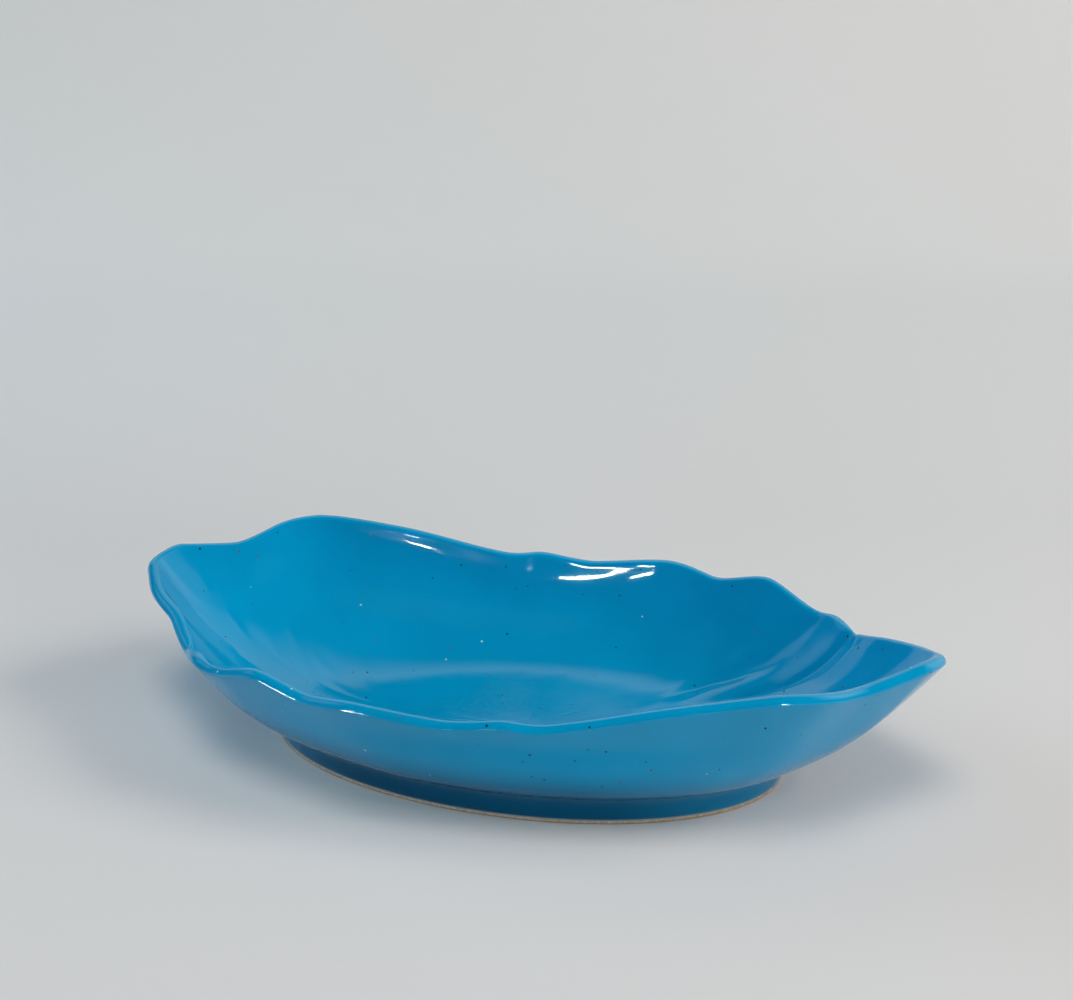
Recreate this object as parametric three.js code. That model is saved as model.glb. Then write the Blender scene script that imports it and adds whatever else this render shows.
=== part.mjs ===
// Ceramic platter: a lobed, boat-shaped stoneware dish with a rolled rim, on a low oval foot ring.
// One coat of glaze runs from the floor over the rim and down to the foot, and a second coat lines
// the recess under the dish. Only the clay edge that the platter stands on is left bare.
import * as THREE from "three";

// Driving dimensions, in millimetres. X runs along the platter, Z is up and the table is at Z = 0.
const RIM_LENGTH = 371; // from tip to tip, between the centres of the rolled edge
const RIM_WIDTH = 196; // across the widest lobes, between the centres of the rolled edge
const RIM_RISE = 56.5; // highest crest of the rim above the foot
const WALL = 4; // clay in the walls
const LIP = 5; // clay in the rolled edge, across
const LIP_NECK = 8; // length of wall that swells into the rolled edge
const BELLY = 0.42; // fullness of the outside curve, from 0 for a straight flare to 1 for a square tub
const FLOOR = 4.8; // clay in the middle of the floor
const WELL_LENGTH = 172; // shallow floor inside, out to where the walls start to climb
const WELL_WIDTH = 102;
const WELL_TWIST = 8; // turn of the floor's oval against the foot, in degrees
const WELL_SAG = 3.5; // how much lower the middle of the floor is than its edge
const WELL_CURVE = 2.5; // power of the floor's curve: flat in the middle and steeper outwards
const WELL_BELLY = 0.32; // fullness of the inside curve, as BELLY
const CREASE_DEPTH = 2.2; // deepest crease that a notch of the rim sends down the inside
const CREASE_REACH = 8; // how far a crease reaches to each side, along the rim
const FOOT_LENGTH = 240; // outside of the foot ring, at the table
const FOOT_WIDTH = 141;
const FOOT_HEIGHT = 14.5; // from the table to the corner between the foot and the dish
const FOOT_WALL = 7; // clay across the foot ring
const FOOT_FLARE = 2; // how much further out the foot stands at that corner, on each side
const FOOT_EDGE = 0.8; // chamfer on the foot ring's lower edges
const SEAT_HEIGHT = 9.5; // from the table to the foot ring's inner top edge, which the dish sits in
const BASE_HEIGHT = 4; // from the table to the middle of the underside
const GLAZE = 0.6; // thickness of both coats of glaze
const BARE_EDGE = 1.6; // clay left bare above the table

// Half of the rim, from one tip to the other, as shares of the half length, the half width and the
// rise, and of the crease depth where a crease starts. The other half is this one after half a turn
// about Z.
const RIM_HALF = [
  [1.0, 0.0, 0.93, 0], // tip
  [0.935, 0.215, 0.83, 0],
  [0.855, 0.345, 0.76, 0],
  [0.805, 0.45, 0.68, 0],
  [0.78, 0.5, 0.645, 0],
  [0.76, 0.535, 0.62, 1], // deep notch beside the tip
  [0.74, 0.585, 0.635, 0],
  [0.7, 0.672, 0.655, 0], // ear
  [0.66, 0.71, 0.64, 0.6], // notch behind the ear
  [0.62, 0.755, 0.66, 0],
  [0.5, 0.87, 0.78, 0], // crest
  [0.38, 0.915, 0.69, 0], // notch
  [0.24, 0.995, 0.735, 0], // crest
  [0.01, 0.965, 0.67, 0], // notch
  [-0.11, 0.945, 0.715, 0], // small crest
  [-0.19, 0.915, 0.695, 0], // notch
  [-0.49, 0.81, 0.9, 0],
  [-0.705, 0.69, 1.0, 0], // high crest
  [-0.785, 0.58, 0.965, 0],
  [-0.85, 0.39, 0.895, 0], // notch beside the other tip
  [-0.98, 0.13, 0.965, 0], // shoulder of the other tip
];

// Fineness of the surfaces
const RIB_SPACING = 9.5; // about how far apart the ribs meet the rim
const INSIDE_CLIMBS = [0, 0.25, 0.5, 0.75, 1]; // rings inside, from the floor's edge up to the neck
const OUTSIDE_CLIMBS = [0.7, 0.45, 0.2]; // rings outside, from the neck down
const LIP_ANGLES = [-20, 35, 90, 145, 200]; // rings round the rolled edge, from inside to outside
const FLOOR_RINGS = [0.08, 0.4, 0.72]; // rings on the floor, as shares of the way out to its edge
const BASE_RINGS = [0.6, 0.1]; // rings on the underside, as shares of the way out to the foot ring
const CREASE_FADE = 0.15; // climb below which a crease fades into the floor
const NUDGE = 1e-4; // step for slopes, as a share of a turn or of a climb

// Sizes that follow
const WALL_START = FOOT_HEIGHT + WALL / 2;
const FLOOR_TOP = BASE_HEIGHT + FLOOR;
const UP = new THREE.Vector3(0, 0, 1);

const rimPoints = rimControlPoints();
const rim = new THREE.CatmullRomCurve3(rimPoints, true, "centripetal");
const TURNS = ribTurns();
const RIBS = TURNS.length;

// Points that the centre of the rolled edge passes through, all the way round
function rimControlPoints() {
  const half = RIM_HALF.map(([along, across, rise]) => {
    const height = FOOT_HEIGHT + rise * RIM_RISE;
    return new THREE.Vector3((along * RIM_LENGTH) / 2, (across * RIM_WIDTH) / 2, height);
  });
  const turned = half.map((point) => new THREE.Vector3(-point.x, -point.y, point.z));
  return [...half, ...turned];
}

// Places of the ribs round the rim, as shares of a turn: one at each rim point and others between
function ribTurns() {
  return rimPoints.flatMap((point, index) => {
    const next = rimPoints[(index + 1) % rimPoints.length];
    const count = Math.max(1, Math.round(point.distanceTo(next) / RIB_SPACING));
    const steps = Array.from({ length: count }, (unused, step) => step / count);
    return steps.map((step) => (index + step) / rimPoints.length);
  });
}

// Direction of the rib at a turn, as an angle round an oval of the foot's proportions
function ribAngle(turn) {
  const top = rim.getPoint(turn);
  return Math.atan2(top.y / FOOT_WIDTH, top.x / FOOT_LENGTH);
}

// Point on the rib at a turn, on an oval that stands `outset` outside the foot's line at the table
function ovalPoint(turn, outset, height) {
  const angle = ribAngle(turn);
  const across = (FOOT_WIDTH / 2 + outset) * Math.sin(angle);
  return new THREE.Vector3((FOOT_LENGTH / 2 + outset) * Math.cos(angle), across, height);
}

// Point on the clay of the shallow floor: share 0 is its middle and share 1 its edge
function wellPoint(turn, share) {
  const angle = ribAngle(turn);
  const along = (share * WELL_LENGTH * Math.cos(angle)) / 2;
  const across = (share * WELL_WIDTH * Math.sin(angle)) / 2;
  const point = new THREE.Vector3(along, across, FLOOR_TOP + WELL_SAG * share ** WELL_CURVE);
  return point.applyAxisAngle(UP, THREE.MathUtils.degToRad(WELL_TWIST));
}

// Point in the middle of the clay wall: climb 0 is the corner at the foot and climb 1 the rim
function wallPoint(turn, climb) {
  const top = rim.getPoint(turn);
  const edge = ovalPoint(turn, FOOT_FLARE, WALL_START);
  const knee = edge.clone().lerp(top, BELLY).setZ(WALL_START);
  return new THREE.QuadraticBezierCurve3(edge, knee, top).getPoint(climb);
}

// Unit vectors on a surface of the wall: up the rib, and square to the surface towards the inside
function surfaceFrame(pointAt, turn, climb) {
  const up = pointAt(turn, climb + NUDGE).sub(pointAt(turn, climb - NUDGE)).normalize();
  const along = pointAt(turn + NUDGE, climb).sub(pointAt(turn - NUDGE, climb));
  const inward = up.clone().cross(along).normalize();
  return { up, inward };
}

// Climb at which the wall starts to swell into the rolled edge
function neckClimb(turn) {
  return 1 - LIP_NECK / wallPoint(turn, 1).distanceTo(wallPoint(turn, 0));
}

// Point on the clay inside: climb 0 is the floor's edge and climb 1 the neck under the rolled edge
function insidePoint(turn, climb) {
  const edge = wellPoint(turn, 1);
  const outward = edge.clone().sub(wellPoint(turn, 1 - NUDGE)).normalize();
  const neck = neckClimb(turn);
  const { up, inward } = surfaceFrame(wallPoint, turn, neck);
  const top = wallPoint(turn, neck).addScaledVector(inward, WALL / 2);
  const reach = WELL_BELLY * edge.distanceTo(top);
  const low = edge.clone().addScaledVector(outward, reach);
  const high = top.clone().addScaledVector(up, -reach);
  return new THREE.CubicBezierCurve3(edge, low, high, top).getPoint(climb);
}

// How far the inside is pressed outwards by the creases, at a turn of the rim
function creaseDepth(turn) {
  const here = rim.getPoint(turn);
  const depths = rimPoints.map((point, index) => {
    const share = RIM_HALF[index % RIM_HALF.length][3];
    const nearness = Math.max(0, 1 - here.distanceTo(point) / CREASE_REACH);
    return share * CREASE_DEPTH * nearness * nearness;
  });
  return Math.max(...depths);
}

// Ring on the floor
function floorRing(share, coat) {
  return TURNS.map((turn) => wellPoint(turn, share).addScaledVector(UP, coat));
}

// Ring inside the dish
function insideRing(climb, coat) {
  const fade = Math.min(1, climb / CREASE_FADE);
  return TURNS.map((turn) => {
    const { inward } = surfaceFrame(insidePoint, turn, climb);
    return insidePoint(turn, climb).addScaledVector(inward, coat - fade * creaseDepth(turn));
  });
}

// Ring outside the dish
function outsideRing(climbAt, coat) {
  return TURNS.map((turn) => {
    const climb = climbAt(turn);
    const { inward } = surfaceFrame(wallPoint, turn, climb);
    return wallPoint(turn, climb).addScaledVector(inward, -WALL / 2 - coat);
  });
}

// Ring round the rolled edge, at an angle from the inward direction
function lipRing(degrees, coat) {
  const angle = THREE.MathUtils.degToRad(degrees);
  const radius = LIP / 2 + coat;
  return TURNS.map((turn) => {
    const { up, inward } = surfaceFrame(wallPoint, turn, 1);
    const pressed = Math.max(0, Math.cos(angle)) * creaseDepth(turn);
    const point = wallPoint(turn, 1).addScaledVector(inward, radius * Math.cos(angle) - pressed);
    return point.addScaledVector(up, radius * Math.sin(angle));
  });
}

// Ring of a level oval
function ovalRing(outset, height) {
  return TURNS.map((turn) => ovalPoint(turn, outset, height));
}

// How far the outside of the foot stands outside its line at the table, at a height
function footOutset(height) {
  return (FOOT_FLARE * height) / FOOT_HEIGHT;
}

function centre(height) {
  return new THREE.Vector3(0, 0, height);
}

// Rings over the dish from its floor to its rim and down its outside, `coat` above the clay. The
// last ring lies in the corner between the dish and the foot.
function dishSkin(coat) {
  const floor = FLOOR_RINGS.map((share) => floorRing(share, coat));
  const inside = INSIDE_CLIMBS.map((climb) => insideRing(climb, coat));
  const lip = LIP_ANGLES.map((degrees) => lipRing(degrees, coat));
  const neck = outsideRing(neckClimb, coat);
  const outside = OUTSIDE_CLIMBS.map((climb) => outsideRing(() => climb, coat));
  const corner = ovalRing(FOOT_FLARE + coat, FOOT_HEIGHT - coat);
  return [...floor, ...inside, ...lip, neck, ...outside, corner];
}

// Ring down the outside of the foot at the edge of the glaze
function footHem(coat) {
  return ovalRing(footOutset(BARE_EDGE) + coat, BARE_EDGE + coat);
}

// Ring on the bulging underside
function baseRing(share, coat) {
  const height = BASE_HEIGHT + (SEAT_HEIGHT - BASE_HEIGHT) * share * share - coat;
  const shrink = new THREE.Vector3(share, share, 1);
  return ovalRing(FOOT_FLARE - FOOT_WALL, height).map((point) => point.multiply(shrink));
}

// Rings up the inside of the foot ring, from the edge of the glaze to the seat of the dish, and on
// over the underside
function recessSkin(coat) {
  const hem = ovalRing(footOutset(BARE_EDGE) - FOOT_WALL - coat, BARE_EDGE + coat);
  const seat = ovalRing(FOOT_FLARE - FOOT_WALL - coat, SEAT_HEIGHT - coat);
  return [hem, seat, ...BASE_RINGS.map((share) => baseRing(share, coat))];
}

// Two triangles for a four-cornered face, parted along its shorter diagonal
function splitQuad(points, a, b, c, d) {
  const shorter = points[a].distanceTo(points[c]) < points[b].distanceTo(points[d]);
  return shorter ? [a, b, c, a, c, d] : [a, b, d, b, c, d];
}

// Closed surface through a list of rings. With a first and a last point it is capped at both ends,
// and without them its last ring joins its first.
function loft(rings, first, last) {
  const points = rings.flat();
  const faces = [];
  const bands = first ? rings.length - 1 : rings.length;
  for (let band = 0; band < bands; band += 1) {
    const here = band * RIBS;
    const there = ((band + 1) % rings.length) * RIBS;
    for (let rib = 0; rib < RIBS; rib += 1) {
      const next = (rib + 1) % RIBS;
      faces.push(...splitQuad(points, here + rib, there + rib, there + next, here + next));
    }
  }
  if (first) {
    const lastRing = (rings.length - 1) * RIBS;
    for (let rib = 0; rib < RIBS; rib += 1) {
      const next = (rib + 1) % RIBS;
      faces.push(points.length, rib, next);
      faces.push(points.length + 1, lastRing + next, lastRing + rib);
    }
    points.push(first, last);
  }
  const geometry = new THREE.BufferGeometry().setFromPoints(points);
  geometry.setIndex(faces);
  geometry.computeVertexNormals();
  return geometry;
}

function clayMaterial() {
  return new THREE.MeshStandardMaterial({ color: 0xc9b08c, roughness: 0.85, metalness: 0 });
}

function glazeMaterial() {
  return new THREE.MeshStandardMaterial({ color: 0x0086bd, roughness: 0.12, metalness: 0 });
}

function piece(name, geometry, material) {
  const mesh = new THREE.Mesh(geometry, material);
  mesh.name = name;
  return mesh;
}

// Clay dish: floor, lobed walls, rolled rim and a bulging underside that sits in the foot ring
function clayDish() {
  const [, ...underside] = recessSkin(0);
  const rings = [...dishSkin(0), ...underside];
  const geometry = loft(rings, centre(FLOOR_TOP), centre(BASE_HEIGHT));
  return piece("clay_dish", geometry, clayMaterial());
}

// Clay foot ring: an oval band that leans out towards the dish, with chamfered lower edges and a
// sloping top that follows the underside of the dish
function footRing() {
  const [hem, seat] = recessSkin(0);
  const rings = [
    ovalRing(FOOT_FLARE, FOOT_HEIGHT),
    footHem(0),
    ovalRing(0, FOOT_EDGE),
    ovalRing(-FOOT_EDGE, 0),
    ovalRing(FOOT_EDGE - FOOT_WALL, 0),
    ovalRing(-FOOT_WALL, FOOT_EDGE),
    hem,
    seat,
  ];
  return piece("foot_ring", loft(rings), clayMaterial());
}

// Glaze over the floor, the rim, the outside and the foot, down to the bare edge
function glazeCoat() {
  const rings = [...dishSkin(GLAZE), footHem(GLAZE), footHem(0), ...dishSkin(0).reverse()];
  const geometry = loft(rings, centre(FLOOR_TOP + GLAZE), centre(FLOOR_TOP));
  return piece("glaze_coat", geometry, glazeMaterial());
}

// Glaze in the recess inside the foot ring
function baseGlaze() {
  const rings = [...recessSkin(0).reverse(), ...recessSkin(GLAZE)];
  const geometry = loft(rings, centre(BASE_HEIGHT), centre(BASE_HEIGHT - GLAZE));
  return piece("base_glaze", geometry, glazeMaterial());
}

const platter = new THREE.Group();
platter.name = "ceramic_platter";
platter.add(clayDish(), footRing(), glazeCoat(), baseGlaze());

export default platter;
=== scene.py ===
"""Looks of the ceramic platter: its glaze, its bare clay, the studio around it and the camera.

Every piece is a smooth copy of a CAD node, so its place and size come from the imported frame.
Lengths are in metres and colours are linear.
"""
import math

import bmesh
import bpy
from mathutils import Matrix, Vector


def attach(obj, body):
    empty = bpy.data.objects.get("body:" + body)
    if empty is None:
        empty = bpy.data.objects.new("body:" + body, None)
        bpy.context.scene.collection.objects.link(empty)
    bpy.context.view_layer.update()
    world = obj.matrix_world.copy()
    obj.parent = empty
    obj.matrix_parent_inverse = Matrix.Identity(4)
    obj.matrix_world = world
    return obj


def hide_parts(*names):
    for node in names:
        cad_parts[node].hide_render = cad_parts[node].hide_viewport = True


# Camera, placed as in the photograph
CAMERA_PLACE = (0.2535, -0.7751, 0.4154)
CAMERA_YAW = math.radians(17.72)
CAMERA_PITCH = math.radians(-19.92)
CAMERA_LENS = 65.6  # millimetres on a 36 mm wide sensor
CAMERA_SENSOR = 36.0

# Smooth surfaces
WELD = 1e-5  # points closer than this become one
SMOOTH_LEVELS = 2
FIT_ROUNDS = 4
FOOT_TOP = 0.0152  # below this height the edges of the pieces stay crisp
CRISP_ANGLE = math.radians(30)
POLE_EDGES = 6  # a point where more edges meet is a pole of the mesh

# Glaze
GLAZE_ROUGHNESS = 0.045
GLAZE_IOR = 1.5
CLOUDS_PER_METRE = 18.0
NOISE_SPAN = (0.3, 0.7)  # values of a noise between which a colour changes into another
PEEL_SIZE = 0.0007  # across one dimple of the glaze's faint orange-peel
PEEL_DEPTH = 0.0002
PEEL_HEIGHTS = (0.025, 0.048)  # heights between which the orange-peel smooths out towards the rim
PEEL_STRENGTHS = (0.16, 0.012)  # below these heights and above them
SPECK_SPACING = 0.0068  # between the specks in the glaze
SPECK_RADII = (0.00025, 0.0006)
SPECK_SHARES = (0.65, 0.85)  # of the specks that are dark, and that are dark or rust brown
SHADE_HEIGHTS = (0.012, 0.037)  # heights between which painted shade fades in on the outside, full below the lower one
SHADE_SLOPES = (0.0, 0.3)  # upward part of the normal, which tells the outside from the floor
SHADE_REACH = (0.05, 0.13)  # distances from the middle between which the painted shade weakens
SHADE_SHARES = (0.95, 0.45)  # of the painted shade, in the middle and towards the tips
TINT_HEIGHTS = (0.042, 0.052)  # heights between which the painted shade on its reflections fades out towards the rim
HEM = (0.0018, 0.0030)  # heights between which the glaze turns into a pale line above the bare edge

# Colours of the glaze
GLAZE_DEEP = (0.0, 0.275, 0.53, 1.0)
GLAZE_PALE = (0.0, 0.32, 0.61, 1.0)
GLAZE_TINT = (0.68, 0.80, 0.70, 1.0)  # of the reflections
# Painted shade low on the outside, in the glaze's colour and in the tint of its reflections
GLAZE_PAINTED_SHADE = (0.0, 0.065, 0.155, 1.0)
PAINTED_REFLECTION_SHADE = (0.03, 0.50, 0.60, 1.0)
GLAZE_HEM = (0.42, 0.50, 0.52, 1.0)
SPECK_DARK = (0.012, 0.016, 0.020, 1.0)
SPECK_RUST = (0.16, 0.075, 0.03, 1.0)
# Partly white specks in the glaze and partly painted glints
SPECK_WHITE_AND_GLINT = (0.62, 0.68, 0.70, 1.0)

# Bare clay
CLAY_LIGHT = (0.56, 0.42, 0.27, 1.0)
CLAY_DARK = (0.30, 0.19, 0.10, 1.0)
CLAY_ROUGHNESS = 0.85
GRAINS_PER_METRE = 900.0

# Floor that sweeps up into a wall. Depths are measured along the camera's heading.
FLOOR_START = -1.6
SWEEP_START = 0.85
SWEEP_RADIUS = 0.95
SWEEP_STEPS = 32
BACKDROP_HALF_WIDTH = 1.7
BACKDROP_ROUGHNESS = 0.9
# The backdrop is painted lighter further back: painted light that makes up for the lamps lighting the
# far sweep less.
BACKDROP_NEAR = (0.73, 0.715, 0.715, 1.0)
BACKDROP_FAR = (0.86, 0.845, 0.835, 1.0)
BACKDROP_FADE = (0.3, 1.0)  # depths between which its colour changes
BEYOND = (0.62, 0.62, 0.61, 1.0)  # seen past the backdrop

# Lamps that aren't mirrored: name, direction, distance, width and height, watts, colour and spread
WHITE = (1.0, 1.0, 1.0)
WARM = (1.0, 0.90, 0.80)  # of the light from the right and from above
COOL = (0.62, 0.85, 1.0)  # of the light from the left and from all round
WIDE = math.radians(180)  # spread of a lamp that lights all that lies in front of it
WINDOW_SPREAD = math.radians(85)  # keeps the light from the left off the backdrop
SOFTBOXES = (
    ("key", (0.80, 0.10, 0.57), 2.8, (1.2, 1.2), 37.0, WARM, WIDE),
    ("window", (-0.94, 0.08, 0.30), 2.6, (2.0, 1.2), 7.0, COOL, WINDOW_SPREAD),
    ("side", (0.80, -0.55, 0.24), 2.6, (1.2, 0.7), 13.0, WHITE, WIDE),
    ("top", (0.03, -0.35, 0.94), 2.6, (1.1, 1.1), 20.5, WARM, WIDE),
)

# Lamps that are only mirrored, as glints on the rolled rim: direction, width, height and radiance
GLINT_DISTANCE = 1.6
GLINTS = (
    ((0.100, -0.984, 0.147), 0.03, 0.008, 400.0),
    ((0.012, -0.975, 0.222), 0.03, 0.008, 60.0),
    ((-0.105, -0.953, 0.295), 0.12, 0.014, 260.0),
    ((-0.195, -0.920, 0.350), 0.13, 0.014, 260.0),
    ((-0.55, -0.82, 0.15), 0.45, 0.18, 200.0),
    ((-0.306, -0.942, 0.14), 0.10, 0.18, 240.0),
    ((0.70, -0.70, 0.14), 0.20, 0.18, 240.0),
)

# Surroundings. The dome lights everything, and the glaze mirrors the rest: a pale wall behind, which
# fades out between two heights and two depths of a unit direction, and round panels, given by
# direction, half angles in degrees where each starts to fade and ends, and radiance.
DOME_LEVEL = 0.27
DARK_LEVEL = 0.02
WALL_RADIANCE = 0.9
WALL_HEIGHTS = (0.72, 0.96)
WALL_DEPTHS = (0.36, 0.52)
PANELS = (
    ((0.75, 0.42, 0.52), 5.0, 24.0, 0.7),
    ((-0.80, -0.05, 0.58), 6.0, 22.0, 0.7),
)

# Places of the colour sockets in a Mix node, where several sockets share a name
MIX_INPUTS = (6, 7)
MIX_OUTPUT = 2

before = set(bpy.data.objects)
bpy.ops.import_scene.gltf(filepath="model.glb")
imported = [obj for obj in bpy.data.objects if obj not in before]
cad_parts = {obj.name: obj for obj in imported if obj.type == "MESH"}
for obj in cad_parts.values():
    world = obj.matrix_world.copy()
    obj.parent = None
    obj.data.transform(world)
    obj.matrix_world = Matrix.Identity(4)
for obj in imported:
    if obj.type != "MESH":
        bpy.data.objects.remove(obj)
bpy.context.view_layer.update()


class Nodes:
    """Short way to add shader nodes to a material and to join them."""

    def __init__(self, name):
        self.material = bpy.data.materials.new(name)
        self.material.use_nodes = True
        self.tree = self.material.node_tree
        self.shader = self.tree.nodes["Principled BSDF"]
        self.place = self.add("ShaderNodeTexCoord").outputs["Object"]

    def add(self, kind, **settings):
        node = self.tree.nodes.new(kind)
        for key, value in settings.items():
            setattr(node, key, value)
        return node

    def link(self, source, target):
        self.tree.links.new(source, target)

    def noise(self, scale, detail):
        node = self.add("ShaderNodeTexNoise")
        node.inputs["Scale"].default_value = scale
        node.inputs["Detail"].default_value = detail
        self.link(self.place, node.inputs["Vector"])
        return node.outputs["Fac"]

    def axes(self, vector):
        node = self.add("ShaderNodeSeparateXYZ")
        self.link(vector, node.inputs["Vector"])
        return node.outputs

    def ramp(self, source, span, low_colour, high_colour):
        node = self.add("ShaderNodeValToRGB")
        for element, position, colour in zip(node.color_ramp.elements, span, (low_colour, high_colour)):
            element.position = position
            element.color = colour
        self.link(source, node.inputs["Fac"])
        return node.outputs["Color"]

    def mix(self, factor, first, second):
        node = self.add("ShaderNodeMix", data_type="RGBA")
        self.link(factor, node.inputs["Factor"])
        for number, value in zip(MIX_INPUTS, (first, second)):
            socket = node.inputs[number]
            if isinstance(value, tuple):
                socket.default_value = value
            else:
                self.link(value, socket)
        return node.outputs[MIX_OUTPUT]


def fade(tree, source, start, end, level, base=0.0):
    """Smooth step of a value, from `base` at `start` to `level` at `end`."""
    node = tree.nodes.new("ShaderNodeMapRange")
    node.interpolation_type = "SMOOTHSTEP"
    node.inputs["From Min"].default_value = start
    node.inputs["From Max"].default_value = end
    node.inputs["To Min"].default_value = base
    node.inputs["To Max"].default_value = level
    tree.links.new(source, node.inputs["Value"])
    return node.outputs["Result"]


def combine(tree, operation, first, second):
    node = tree.nodes.new("ShaderNodeMath")
    node.operation = operation
    tree.links.new(first, node.inputs[0])
    if isinstance(second, float):
        node.inputs[1].default_value = second
    else:
        tree.links.new(second, node.inputs[1])
    return node.outputs["Value"]


def glaze_material():
    """Glossy blue glass: soft clouds, sparse specks, faint orange-peel, a pale lower edge, painted
    shade.
    """
    nodes = Nodes("glaze")
    place = nodes.axes(nodes.place)
    cloud = nodes.noise(CLOUDS_PER_METRE, detail=3.0)
    colour = nodes.ramp(cloud, NOISE_SPAN, GLAZE_DEEP, GLAZE_PALE)
    colour = add_specks(nodes, colour)
    shade_amount = painted_shade_mask(nodes, place)
    # Painted shade: the glaze is darkened low on the outside, most halfway between the tips.
    low = fade(nodes.tree, place["Z"], SHADE_HEIGHTS[1], SHADE_HEIGHTS[0], 1.0)
    colour = nodes.mix(combine(nodes.tree, "MULTIPLY", low, shade_amount), colour, GLAZE_PAINTED_SHADE)
    hem = fade(nodes.tree, place["Z"], HEM[1], HEM[0], 1.0)
    nodes.link(nodes.mix(hem, colour, GLAZE_HEM), nodes.shader.inputs["Base Color"])
    # Its reflections there get a darker tint, as painted shade, up to just below the rim.
    below_rim = fade(nodes.tree, place["Z"], TINT_HEIGHTS[1], TINT_HEIGHTS[0], 1.0)
    reflection_shade = combine(nodes.tree, "MULTIPLY", below_rim, shade_amount)
    nodes.link(nodes.mix(reflection_shade, GLAZE_TINT, PAINTED_REFLECTION_SHADE), nodes.shader.inputs["Specular Tint"])
    nodes.shader.inputs["Roughness"].default_value = GLAZE_ROUGHNESS
    nodes.shader.inputs["IOR"].default_value = GLAZE_IOR
    add_orange_peel(nodes, place["Z"])
    return nodes.material


def painted_shade_mask(nodes, place):
    """Painted shade: strongest on the outside halfway between the tips, none on the floor."""
    normal = nodes.axes(nodes.add("ShaderNodeNewGeometry").outputs["Normal"])
    outside = fade(nodes.tree, normal["Z"], SHADE_SLOPES[1], SHADE_SLOPES[0], 1.0)
    opposite = combine(nodes.tree, "MULTIPLY", place["X"], -1.0)
    along = combine(nodes.tree, "MAXIMUM", place["X"], opposite)
    middle = fade(nodes.tree, along, SHADE_REACH[1], SHADE_REACH[0], *SHADE_SHARES)
    return combine(nodes.tree, "MULTIPLY", outside, middle)


def add_orange_peel(nodes, height):
    bump = nodes.add("ShaderNodeBump")
    bump.inputs["Distance"].default_value = PEEL_DEPTH
    strength = fade(nodes.tree, height, PEEL_HEIGHTS[1], PEEL_HEIGHTS[0], *PEEL_STRENGTHS)
    nodes.link(strength, bump.inputs["Strength"])
    nodes.link(nodes.noise(1.0 / PEEL_SIZE, detail=1.0), bump.inputs["Height"])
    nodes.link(bump.outputs["Normal"], nodes.shader.inputs["Normal"])


def add_specks(nodes, colour):
    """Sparse dots in the glaze: mostly nearly black, some rust brown, a few white that are partly
    painted glints.
    """
    cells = nodes.add("ShaderNodeTexVoronoi")
    cells.inputs["Scale"].default_value = 1.0 / SPECK_SPACING
    nodes.link(nodes.place, cells.inputs["Vector"])
    chance = nodes.add("ShaderNodeSeparateColor")
    nodes.link(cells.outputs["Color"], chance.inputs["Color"])
    reach = nodes.add("ShaderNodeMapRange")
    reach.inputs["To Min"].default_value = SPECK_RADII[0] / SPECK_SPACING
    reach.inputs["To Max"].default_value = SPECK_RADII[1] / SPECK_SPACING
    nodes.link(chance.outputs["Green"], reach.inputs["Value"])
    inside = combine(nodes.tree, "LESS_THAN", cells.outputs["Distance"], reach.outputs["Result"])
    kind = nodes.add("ShaderNodeValToRGB")
    kind.color_ramp.interpolation = "CONSTANT"
    kind.color_ramp.elements[0].color = SPECK_DARK
    kind.color_ramp.elements[1].position = SPECK_SHARES[0]
    kind.color_ramp.elements[1].color = SPECK_RUST
    kind.color_ramp.elements.new(SPECK_SHARES[1]).color = SPECK_WHITE_AND_GLINT
    nodes.link(chance.outputs["Red"], kind.inputs["Fac"])
    return nodes.mix(inside, colour, kind.outputs["Color"])


def clay_material():
    nodes = Nodes("bare_clay")
    grain = nodes.noise(GRAINS_PER_METRE, detail=4.0)
    colour = nodes.ramp(grain, NOISE_SPAN, CLAY_DARK, CLAY_LIGHT)
    nodes.link(colour, nodes.shader.inputs["Base Color"])
    nodes.shader.inputs["Roughness"].default_value = CLAY_ROUGHNESS
    return nodes.material


def smooth_piece(node, name, material):
    """Smooth copy of a CAD node, subdivided so that it passes through the CAD's own points."""
    mesh = control_mesh(node)
    kept = poles(mesh) | crisp_corners(mesh)
    data = bpy.data.meshes.new(name)
    mesh.to_mesh(data)
    mesh.free()
    data.materials.append(material)
    piece = bpy.data.objects.new(name, data)
    bpy.context.scene.collection.objects.link(piece)
    subdivide = piece.modifiers.new("smooth", "SUBSURF")
    subdivide.levels = SMOOTH_LEVELS
    subdivide.render_levels = SMOOTH_LEVELS
    fit_controls(piece, kept)
    smooth = piece.evaluated_get(bpy.context.evaluated_depsgraph_get())
    piece.data = bpy.data.meshes.new_from_object(smooth)
    piece.modifiers.clear()
    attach(piece, "root")
    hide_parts(node)


def control_mesh(node):
    """The CAD node's mesh, welded and turned back into four-sided faces."""
    mesh = bmesh.new()
    mesh.from_mesh(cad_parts[node].data)
    bmesh.ops.remove_doubles(mesh, verts=mesh.verts, dist=WELD)
    bmesh.ops.join_triangles(
        mesh,
        faces=mesh.faces,
        angle_face_threshold=math.pi,
        angle_shape_threshold=math.pi,
    )
    mesh.verts.index_update()
    for face in mesh.faces:
        face.smooth = True
    return mesh


def poles(mesh):
    """Points at and round the poles of the mesh, where fitting would leave ripples."""
    found = set()
    for vertex in mesh.verts:
        if len(vertex.link_edges) > POLE_EDGES:
            found.update(end.index for edge in vertex.link_edges for end in edge.verts)
    return found


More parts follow.
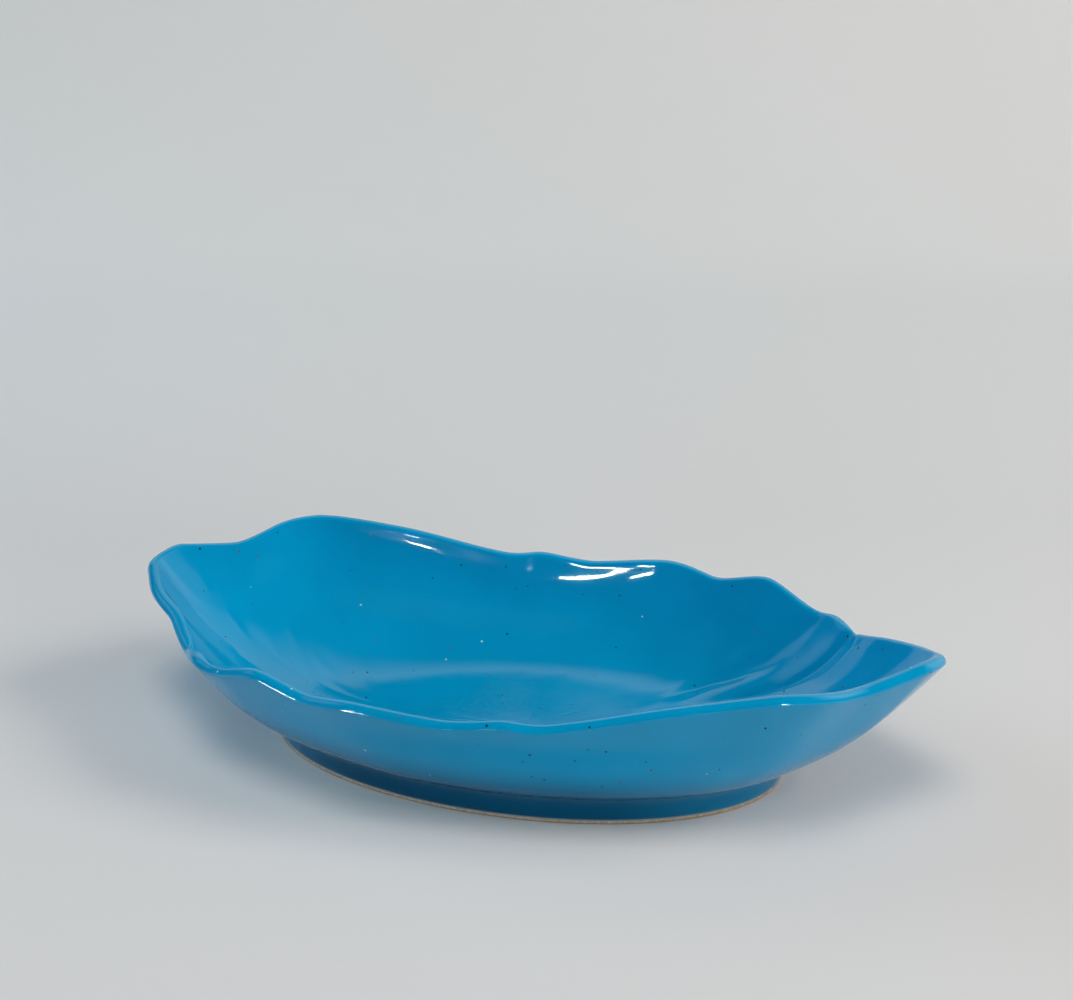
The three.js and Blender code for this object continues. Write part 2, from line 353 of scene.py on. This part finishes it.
def crisp_corners(mesh):
    """Crease the low edges that stand out, and find the points of the low corners that lie in.

    Those stay uncreased and unfitted, so the glaze runs round there as a fillet.
    """
    crease = mesh.edges.layers.float.new("crease_edge")
    hollow = set()
    for edge in mesh.edges:
        bend = edge.calc_face_angle_signed(0.0)
        if abs(bend) <= CRISP_ANGLE or any(vertex.co.z >= FOOT_TOP for vertex in edge.verts):
            continue
        if bend > 0.0:
            edge[crease] = 1.0
        else:
            hollow.update(vertex.index for vertex in edge.verts)
    return hollow


def fit_controls(piece, kept):
    """Move the control points that aren't kept until the smooth surface meets the CAD's points."""
    targets = [vertex.co.copy() for vertex in piece.data.vertices]
    for _ in range(FIT_ROUNDS):
        smooth = piece.evaluated_get(bpy.context.evaluated_depsgraph_get())
        reached = [vertex.co.copy() for vertex in smooth.data.vertices[:len(targets)]]
        for vertex, target, point in zip(piece.data.vertices, targets, reached):
            if vertex.index not in kept:
                vertex.co += target - point
        piece.data.update()


def make_camera():
    data = bpy.data.cameras.new("camera")
    data.sensor_fit = "HORIZONTAL"
    data.sensor_width = CAMERA_SENSOR
    data.lens = CAMERA_LENS
    camera = bpy.data.objects.new("camera", data)
    camera.location = CAMERA_PLACE
    camera.rotation_euler = (math.radians(90) + CAMERA_PITCH, 0.0, CAMERA_YAW)
    bpy.context.scene.collection.objects.link(camera)
    bpy.context.scene.camera = camera


def backdrop_material():
    nodes = Nodes("backdrop")
    depth = nodes.axes(nodes.place)["Y"]
    # Painted light: lighter further back, where the lamps reach the sweep less
    colour = nodes.ramp(depth, BACKDROP_FADE, BACKDROP_NEAR, BACKDROP_FAR)
    nodes.link(colour, nodes.shader.inputs["Base Color"])
    nodes.shader.inputs["Roughness"].default_value = BACKDROP_ROUGHNESS
    nodes.shader.inputs["Specular IOR Level"].default_value = 0.0
    return nodes.material


def make_backdrop():
    """Floor that sweeps up into a wall behind the platter."""
    profile = [(FLOOR_START, 0.0)]
    for step in range(SWEEP_STEPS + 1):
        angle = math.pi / 2 * step / SWEEP_STEPS
        depth = SWEEP_START + SWEEP_RADIUS * math.sin(angle)
        profile.append((depth, SWEEP_RADIUS * (1 - math.cos(angle))))
    points = [(side * BACKDROP_HALF_WIDTH, y, z) for y, z in profile for side in (-1, 1)]
    faces = [(2 * i, 2 * i + 1, 2 * i + 3, 2 * i + 2) for i in range(len(profile) - 1)]
    data = bpy.data.meshes.new("backdrop")
    data.from_pydata(points, [], faces)
    for face in data.polygons:
        face.use_smooth = True
    data.materials.append(backdrop_material())
    sweep = bpy.data.objects.new("backdrop", data)
    sweep.rotation_euler = (0.0, 0.0, CAMERA_YAW)
    bpy.context.scene.collection.objects.link(sweep)


def add_lamp(name, direction, distance, size, power):
    data = bpy.data.lights.new(name, "AREA")
    data.shape = "RECTANGLE"
    data.size, data.size_y = size
    data.energy = power
    lamp = bpy.data.objects.new(name, data)
    lamp.location = Vector(direction).normalized() * distance
    lamp.rotation_euler = Vector(direction).to_track_quat("Z", "Y").to_euler()
    bpy.context.scene.collection.objects.link(lamp)
    return lamp


def make_lights():
    for name, direction, distance, size, power, colour, spread in SOFTBOXES:
        lamp = add_lamp(name, direction, distance, size, power)
        lamp.data.color = colour
        lamp.data.spread = spread
        lamp.visible_glossy = False
    for number, (direction, width, height, radiance) in enumerate(GLINTS):
        power = radiance * math.pi * width * height
        lamp = add_lamp(f"glint_{number}", direction, GLINT_DISTANCE, (width, height), power)
        lamp.visible_diffuse = False


def mirrored_radiance(tree):
    """What the glaze mirrors: a dark room with a pale wall behind the platter and two soft panels."""
    toward = tree.nodes.new("ShaderNodeTexCoord").outputs["Generated"]
    axes = tree.nodes.new("ShaderNodeSeparateXYZ")
    tree.links.new(toward, axes.inputs["Vector"])
    low = fade(tree, axes.outputs["Z"], WALL_HEIGHTS[1], WALL_HEIGHTS[0], WALL_RADIANCE)
    behind = fade(tree, axes.outputs["Y"], WALL_DEPTHS[0], WALL_DEPTHS[1], 1.0)
    total = combine(tree, "ADD", combine(tree, "MULTIPLY", low, behind), DARK_LEVEL)
    for direction, inner, outer, radiance in PANELS:
        facing = tree.nodes.new("ShaderNodeVectorMath")
        facing.operation = "DOT_PRODUCT"
        tree.links.new(toward, facing.inputs[0])
        facing.inputs[1].default_value = Vector(direction).normalized()
        start, end = math.cos(math.radians(outer)), math.cos(math.radians(inner))
        total = combine(tree, "ADD", total, fade(tree, facing.outputs["Value"], start, end, radiance))
    return total


def make_world():
    """A cool dome lights the scene, the glaze mirrors the studio, and the camera sees a plain tone."""
    world = bpy.data.worlds.new("studio")
    world.use_nodes = True
    tree = world.node_tree
    dome = tree.nodes["Background"]
    dome.inputs["Color"].default_value = (*COOL, 1.0)
    dome.inputs["Strength"].default_value = DOME_LEVEL
    mirrored = tree.nodes.new("ShaderNodeBackground")
    mirrored.inputs["Color"].default_value = (*WHITE, 1.0)
    tree.links.new(mirrored_radiance(tree), mirrored.inputs["Strength"])
    seen = tree.nodes.new("ShaderNodeBackground")
    seen.inputs["Color"].default_value = BEYOND
    path = tree.nodes.new("ShaderNodeLightPath")
    result = dome.outputs["Background"]
    for ray, other in (("Is Glossy Ray", mirrored), ("Is Camera Ray", seen)):
        choice = tree.nodes.new("ShaderNodeMixShader")
        tree.links.new(path.outputs[ray], choice.inputs["Fac"])
        tree.links.new(result, choice.inputs[1])
        tree.links.new(other.outputs["Background"], choice.inputs[2])
        result = choice.outputs["Shader"]
    tree.links.new(result, tree.nodes["World Output"].inputs["Surface"])
    bpy.context.scene.world = world


glaze = glaze_material()
clay = clay_material()
smooth_piece("clay_dish", "stoneware_dish", clay)
smooth_piece("foot_ring", "stoneware_foot", clay)
smooth_piece("glaze_coat", "blue_glaze", glaze)
smooth_piece("base_glaze", "blue_base_glaze", glaze)

make_camera()
make_backdrop()
make_lights()
make_world()
bpy.context.scene.view_settings.view_transform = "Standard"
